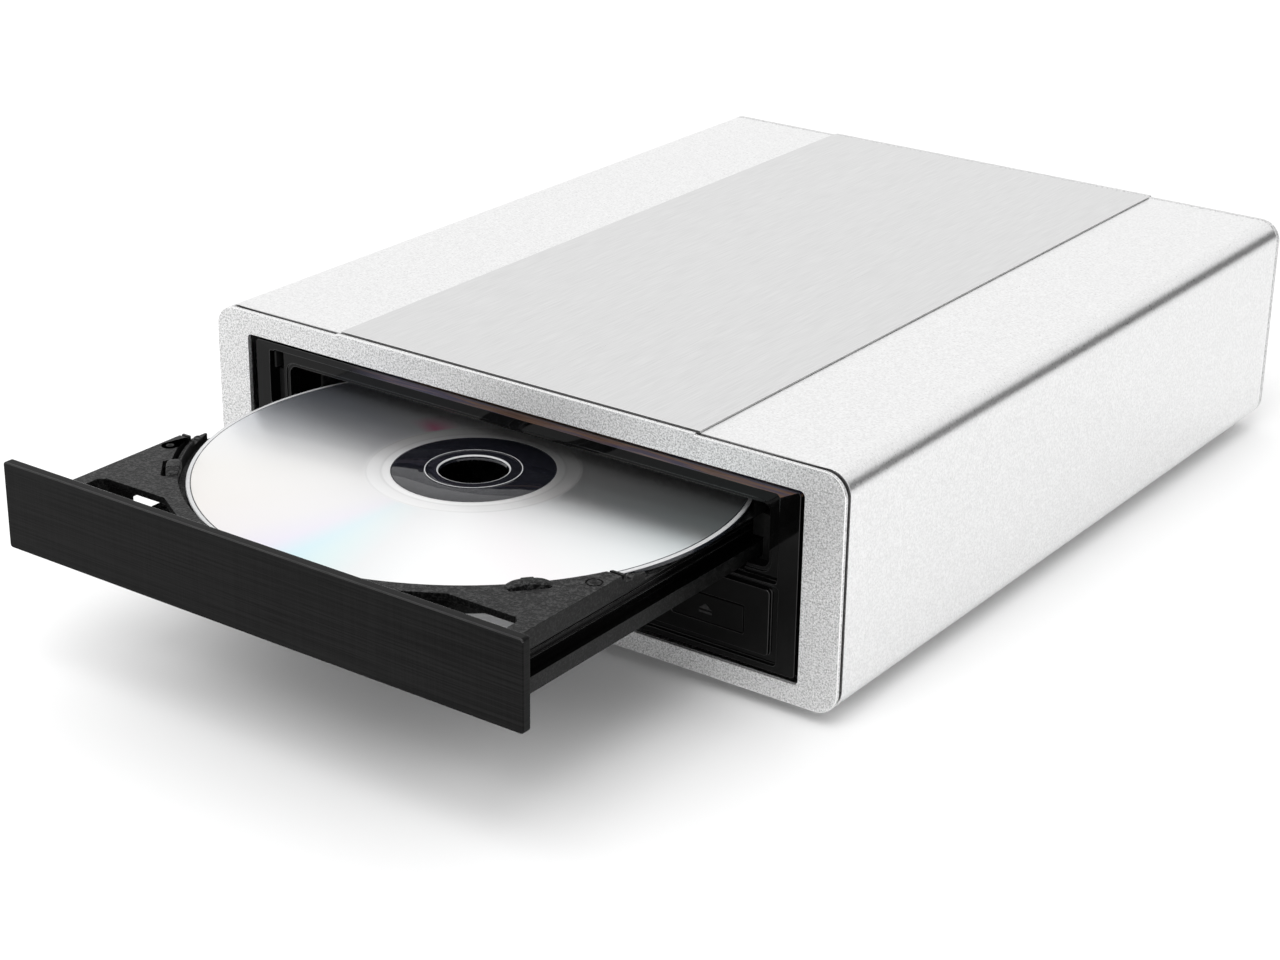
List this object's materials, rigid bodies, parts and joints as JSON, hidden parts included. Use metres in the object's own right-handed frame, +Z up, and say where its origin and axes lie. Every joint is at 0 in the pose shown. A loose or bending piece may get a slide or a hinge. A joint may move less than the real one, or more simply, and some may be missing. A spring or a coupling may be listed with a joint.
{
  "type": "external optical drive",
  "caption": "Slim aluminium desktop enclosure round a half-height optical drive; its disc tray slides out and a motor, gears and a tilting carriage load and read the disc.",
  "frame": {"origin": "on the surface it stands on, under the middle of the whole object with the tray as far out as it is drawn", "axes": "+X to the drive's right seen from the front, +Y from the tray's door to the rear panel, +Z up"},
  "size_m": [0.169, 0.2912, 0.0564],
  "materials": {
    "anodised_aluminium": "satin anodised",
    "brushed_aluminium": "brushed",
    "blasted_aluminium": "bead blasted, clear anodised",
    "matte_black_plastic": "fine texture",
    "zinc_steel": "zinc plated sheet",
    "screw_steel": "nickel plated",
    "black_rubber": "matte",
    "gloss_black_plastic": "polished",
    "tray_plastic": "spark-eroded texture",
    "door_plastic": "fine brushed texture",
    "black_acetal": "moulded",
    "circuit_board": "solder mask",
    "disc_mirror": "metallised polycarbonate",
    "clear_plastic": "clear",
    "lens_glass": "coated",
    "motor_brass": "turned",
    "sled_metal": "die cast"
  },
  "bodies": {
    "enclosure": {"outer_sleeve": "anodised_aluminium", "top_inlay": "brushed_aluminium", "front_frame": "blasted_aluminium", "front_liner": "matte_black_plastic", "rear_panel": "blasted_aluminium", "rear_screw_1": "screw_steel", "rear_screw_2": "screw_steel", "rear_screw_3": "screw_steel", "rear_screw_4": "screw_steel", "rubber_foot_1": "black_rubber", "rubber_foot_2": "black_rubber", "rubber_foot_3": "black_rubber", "rubber_foot_4": "black_rubber", "base_screw_1": "screw_steel", "base_screw_2": "screw_steel", "base_screw_3": "screw_steel", "base_screw_4": "screw_steel", "cradle_bracket": "zinc_steel", "drive_screw_1": "screw_steel", "drive_screw_2": "screw_steel", "drive_screw_3": "screw_steel", "drive_screw_4": "screw_steel", "drive_case": "zinc_steel", "drive_cover": "zinc_steel", "drive_board": "circuit_board", "drive_bezel": "gloss_black_plastic", "activity_light_pipe": "clear_plastic", "loader_base": "matte_black_plastic", "loading_motor": "zinc_steel", "drive_belt": "black_rubber", "clamp_bridge": "zinc_steel", "bridge_board": "circuit_board", "usb_socket": "zinc_steel", "power_inlet": "matte_black_plastic", "link_connector": "matte_black_plastic", "switch_housing": "matte_black_plastic"},
    "tray": {"tray": "tray_plastic", "tray_door": "door_plastic"},
    "disc": {"disc": "disc_mirror"},
    "loading_gear": {"loading_gear": "black_acetal"},
    "pulley_gear": {"pulley_gear": "black_acetal"},
    "motor_pulley": {"motor_pulley": "motor_brass"},
    "cam_slider": {"cam_slider": "black_acetal"},
    "traverse": {"traverse_frame": "matte_black_plastic", "guide_rod_left": "screw_steel", "guide_rod_right": "screw_steel", "spindle_motor": "zinc_steel", "sled_motor": "zinc_steel"},
    "turntable": {"turntable": "matte_black_plastic"},
    "pickup": {"pickup_sled": "sled_metal", "objective_lens": "lens_glass"},
    "lead_screw": {"lead_screw": "screw_steel"},
    "clamper": {"clamper": "black_acetal"},
    "eject_button": {"eject_button": "gloss_black_plastic"},
    "rocker": {"rocker": "matte_black_plastic"}
  },
  "joints": [
    {"name": "tray_slide", "type": "slide", "parent": "enclosure", "child": "tray", "axis": [0, 1, 0], "range_m": [-0.05, 0.0803]},
    {"name": "loading_gear_spin", "type": "hinge", "parent": "enclosure", "child": "loading_gear", "pos_m": [-0.03, -0.04355, 0.028], "axis": [0, 0, 1], "range_deg": [-470, 300]},
    {"name": "pulley_gear_spin", "type": "hinge", "parent": "enclosure", "child": "pulley_gear", "pos_m": [-0.012, -0.04355, 0.025], "axis": [0, 0, 1], "range_deg": [-600, 940]},
    {"name": "motor_pulley_spin", "type": "hinge", "parent": "enclosure", "child": "motor_pulley", "pos_m": [0.026, -0.04555, 0.024], "axis": [0, 0, 1], "range_deg": [-1850, 2950]},
    {"name": "traverse_lift", "type": "hinge", "parent": "enclosure", "child": "traverse", "pos_m": [0, 0.08745, 0.025], "axis": [-1, 0, 0], "range_deg": [0, 4.1]},
    {"name": "cam_slide", "type": "slide", "parent": "enclosure", "child": "cam_slider", "axis": [1, 0, 0], "range_m": [0, 0.0181]},
    {"name": "turntable_spin", "type": "hinge", "parent": "traverse", "child": "turntable", "pos_m": [0, 0.00305, 0.02898], "axis": [0, -0.0715, 0.9974], "continuous": true},
    {"name": "pickup_slide", "type": "slide", "parent": "traverse", "child": "pickup", "axis": [0, 0.9974, 0.0715], "range_m": [0, 0.034]},
    {"name": "lead_screw_spin", "type": "hinge", "parent": "traverse", "child": "lead_screw", "pos_m": [0.0293, 0.0442, 0.02692], "axis": [0, 0.9974, 0.0715], "range_deg": [-10, 4100]},
    {"name": "clamper_spin", "type": "hinge", "parent": "enclosure", "child": "clamper", "pos_m": [0, 0.00355, 0.043], "axis": [0, 0, 1], "continuous": true},
    {"name": "disc_spin", "type": "hinge", "parent": "tray", "child": "disc", "pos_m": [0, -0.07675, 0.0389], "axis": [0, 0, 1], "continuous": true},
    {"name": "eject_button_press", "type": "slide", "parent": "enclosure", "child": "eject_button", "axis": [0, 1, 0], "range_m": [0, 0.0012], "stiffness_N_per_m": 400, "springref_m": -0.001},
    {"name": "rocker_tilt", "type": "hinge", "parent": "enclosure", "child": "rocker", "pos_m": [-0.055, 0.14045, 0.03], "axis": [1, 0, 0], "range_deg": [0, 12]}
  ],
  "couplings": [
    {"joint": "loading_gear_spin", "follows": "tray_slide", "rad_per_m": -100},
    {"joint": "pulley_gear_spin", "follows": "tray_slide", "rad_per_m": 200},
    {"joint": "motor_pulley_spin", "follows": "tray_slide", "rad_per_m": 628.57},
    {"joint": "cam_slide", "follows": "traverse_lift", "m_per_rad": 0.2517},
    {"joint": "lead_screw_spin", "follows": "pickup_slide", "rad_per_m": 2094.4}
  ]
}
